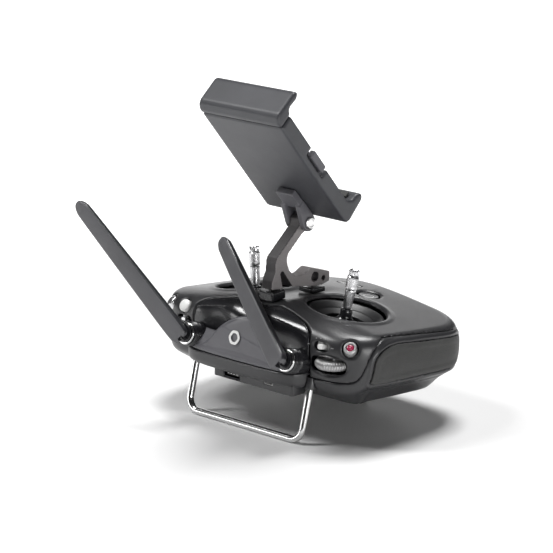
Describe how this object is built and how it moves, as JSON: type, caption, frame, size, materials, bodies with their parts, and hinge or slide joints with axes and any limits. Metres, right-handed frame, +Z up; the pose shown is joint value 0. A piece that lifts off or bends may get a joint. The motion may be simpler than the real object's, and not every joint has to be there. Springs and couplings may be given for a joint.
{
  "type": "radio transmitter controller",
  "caption": "Hand-held radio transmitter with twin thumb sticks, folding paddle antennas, a bail handle that props it up and a tilting phone clamp on a curved arm.",
  "frame": {"origin": "middle of the underside of the handle's bar, on the surface that the controller stands on", "axes": "+Z up, +X towards the side with the record button, +Y towards the pilot and the rear foot, so that the antennas are on the -Y side"},
  "size_m": [0.2288, 0.1519, 0.2266],
  "materials": {
    "shell_plastic": "fine matt texture",
    "panel_plastic": "matt",
    "gloss_plastic": "polished black",
    "grip_rubber": "matt, finely pitted",
    "satin_silver": "satin, knurled where it is gripped",
    "polished_steel": "polished",
    "cast_metal": "bead blasted warm grey",
    "record_red": "glossy",
    "circuit_green": "solder mask"
  },
  "bodies": {
    "body": {"top_shell": "shell_plastic", "bottom_shell": "shell_plastic", "front_cover": "gloss_plastic", "logo_panel": "panel_plastic", "left_grip_pad": "grip_rubber", "right_grip_pad": "grip_rubber", "handle": "polished_steel", "left_handle_collar": "shell_plastic", "right_handle_collar": "shell_plastic", "port_block": "shell_plastic", "usb_a_port": "satin_silver", "rear_foot": "grip_rubber", "charge_port": "gloss_plastic", "battery": "panel_plastic", "main_board": "circuit_green", "left_gimbal_housing": "gloss_plastic", "right_gimbal_housing": "gloss_plastic", "left_antenna_mount": "gloss_plastic", "right_antenna_mount": "gloss_plastic", "battery_lights": "gloss_plastic", "gimbal_dial_axle": "polished_steel", "camera_dial_axle": "polished_steel", "bracket_seat_front": "gloss_plastic", "bracket_seat_rear": "gloss_plastic", "holder_arm": "cast_metal", "holder_pin": "satin_silver"},
    "left_antenna_swivel": {"left_antenna_hinge": "gloss_plastic", "left_antenna_ring": "polished_steel", "left_antenna_pin": "polished_steel"},
    "left_antenna": {"left_antenna": "panel_plastic"},
    "left_gimbal_yoke": {"left_gimbal_yoke": "satin_silver"},
    "left_stick": {"left_stick_shaft": "gloss_plastic", "left_stick_sleeve": "satin_silver", "left_stick_knob": "satin_silver"},
    "right_antenna_swivel": {"right_antenna_hinge": "gloss_plastic", "right_antenna_ring": "polished_steel", "right_antenna_pin": "polished_steel"},
    "right_antenna": {"right_antenna": "panel_plastic"},
    "right_gimbal_yoke": {"right_gimbal_yoke": "satin_silver"},
    "right_stick": {"right_stick_shaft": "gloss_plastic", "right_stick_sleeve": "satin_silver", "right_stick_knob": "satin_silver"},
    "gimbal_dial": {"gimbal_dial": "satin_silver"},
    "camera_dial": {"camera_dial": "satin_silver"},
    "shutter_button": {"shutter_button": "satin_silver"},
    "playback_button": {"playback_button": "satin_silver"},
    "rth_button": {"rth_button": "satin_silver"},
    "power_button": {"power_button": "satin_silver"},
    "c1_button": {"c1_button": "shell_plastic"},
    "c2_button": {"c2_button": "shell_plastic"},
    "transformation_switch": {"transformation_switch": "satin_silver"},
    "mode_switch": {"mode_switch": "satin_silver"},
    "clamp_release": {"clamp_release": "panel_plastic"},
    "record_button": {"record_button": "satin_silver", "record_lens": "record_red"},
    "phone_clamp": {"clamp_plate": "panel_plastic", "clamp_knuckle": "panel_plastic", "lower_jaw_pad": "grip_rubber"},
    "clamp_jaw": {"clamp_jaw": "panel_plastic", "upper_jaw_pad": "grip_rubber"}
  },
  "joints": [
    {"name": "left_antenna_turn", "type": "hinge", "parent": "body", "child": "left_antenna_swivel", "pos_m": [-0.0447, -0.0069, 0.0571], "axis": [0, -0.9613, 0.2756], "range_deg": [-80, 38]},
    {"name": "left_antenna_fold", "type": "hinge", "parent": "left_antenna_swivel", "child": "left_antenna", "pos_m": [-0.0447, -0.01555, 0.05958], "axis": [0.6225, 0.2157, 0.7523], "range_deg": [-23, 77]},
    {"name": "right_antenna_turn", "type": "hinge", "parent": "body", "child": "right_antenna_swivel", "pos_m": [0.0447, -0.0069, 0.0571], "axis": [0, -0.9613, 0.2756], "range_deg": [-22, 0]},
    {"name": "right_antenna_fold", "type": "hinge", "parent": "right_antenna_swivel", "child": "right_antenna", "pos_m": [0.0447, -0.01555, 0.05958], "axis": [0.5793, 0.2247, 0.7836], "range_deg": [0, 98]},
    {"name": "left_stick_sideways", "type": "hinge", "parent": "body", "child": "left_gimbal_yoke", "pos_m": [-0.03907, 0.05359, 0.06552], "axis": [0, 0.994, -0.1093], "range_deg": [-20, 20], "stiffness_Nm_per_rad": 0.05},
    {"name": "left_stick_forwards", "type": "hinge", "parent": "left_gimbal_yoke", "child": "left_stick", "pos_m": [-0.03907, 0.05359, 0.06552], "axis": [0.9889, 0.0162, 0.1475], "range_deg": [-20, 20], "stiffness_Nm_per_rad": 0.05},
    {"name": "right_stick_sideways", "type": "hinge", "parent": "body", "child": "right_gimbal_yoke", "pos_m": [0.03907, 0.05359, 0.06552], "axis": [0, 0.994, -0.1093], "range_deg": [-20, 20], "stiffness_Nm_per_rad": 0.05},
    {"name": "right_stick_forwards", "type": "hinge", "parent": "right_gimbal_yoke", "child": "right_stick", "pos_m": [0.03907, 0.05359, 0.06552], "axis": [0.9889, -0.0162, -0.1475], "range_deg": [-20, 20], "stiffness_Nm_per_rad": 0.05},
    {"name": "gimbal_dial_turn", "type": "hinge", "parent": "body", "child": "gimbal_dial", "pos_m": [0.06451, 0.01603, 0.0546], "axis": [0, 0, 1], "range_deg": [-25, 25], "stiffness_Nm_per_rad": 0.01},
    {"name": "camera_dial_turn", "type": "hinge", "parent": "body", "child": "camera_dial", "pos_m": [-0.06451, 0.01603, 0.0546], "axis": [0, 0, 1], "continuous": true},
    {"name": "record_button_press", "type": "slide", "parent": "body", "child": "record_button", "axis": [-0.4402, 0.5973, -0.6704], "range_m": [0, 0.0012], "stiffness_N_per_m": 400},
    {"name": "shutter_button_press", "type": "slide", "parent": "body", "child": "shutter_button", "axis": [0.4402, 0.5973, -0.6704], "range_m": [0, 0.0012], "stiffness_N_per_m": 400},
    {"name": "playback_button_press", "type": "slide", "parent": "body", "child": "playback_button", "axis": [0.0207, 0.8457, -0.5332], "range_m": [0, 0.0005], "stiffness_N_per_m": 400},
    {"name": "rth_button_press", "type": "slide", "parent": "body", "child": "rth_button", "axis": [-0.1171, -0.1086, -0.9872], "range_m": [0, 0.001], "stiffness_N_per_m": 400},
    {"name": "power_button_press", "type": "slide", "parent": "body", "child": "power_button", "axis": [0.1171, -0.1086, -0.9872], "range_m": [0, 0.001], "stiffness_N_per_m": 400},
    {"name": "c1_button_press", "type": "slide", "parent": "body", "child": "c1_button", "axis": [0, 0.238, 0.9713], "range_m": [0, 0.001], "stiffness_N_per_m": 400},
    {"name": "c2_button_press", "type": "slide", "parent": "body", "child": "c2_button", "axis": [0, 0.238, 0.9713], "range_m": [0, 0.001], "stiffness_N_per_m": 400},
    {"name": "transformation_switch_slide", "type": "slide", "parent": "body", "child": "transformation_switch", "axis": [0.999, 0.0436, 0], "range_m": [-0.003, 0.003]},
    {"name": "mode_switch_slide", "type": "slide", "parent": "body", "child": "mode_switch", "axis": [-0.999, 0.0436, 0], "range_m": [-0.0032, 0.0032]},
    {"name": "phone_clamp_tilt", "type": "hinge", "parent": "body", "child": "phone_clamp", "pos_m": [0, 0.0545, 0.1296], "axis": [1, 0, 0], "range_deg": [-60, 35]},
    {"name": "clamp_jaw_slide", "type": "slide", "parent": "phone_clamp", "child": "clamp_jaw", "axis": [0, -0.6455, 0.7638], "range_m": [0, 0.05]},
    {"name": "clamp_release_press", "type": "slide", "parent": "phone_clamp", "child": "clamp_release", "axis": [-1, 0, 0], "range_m": [0, 0.0012], "stiffness_N_per_m": 400}
  ]
}
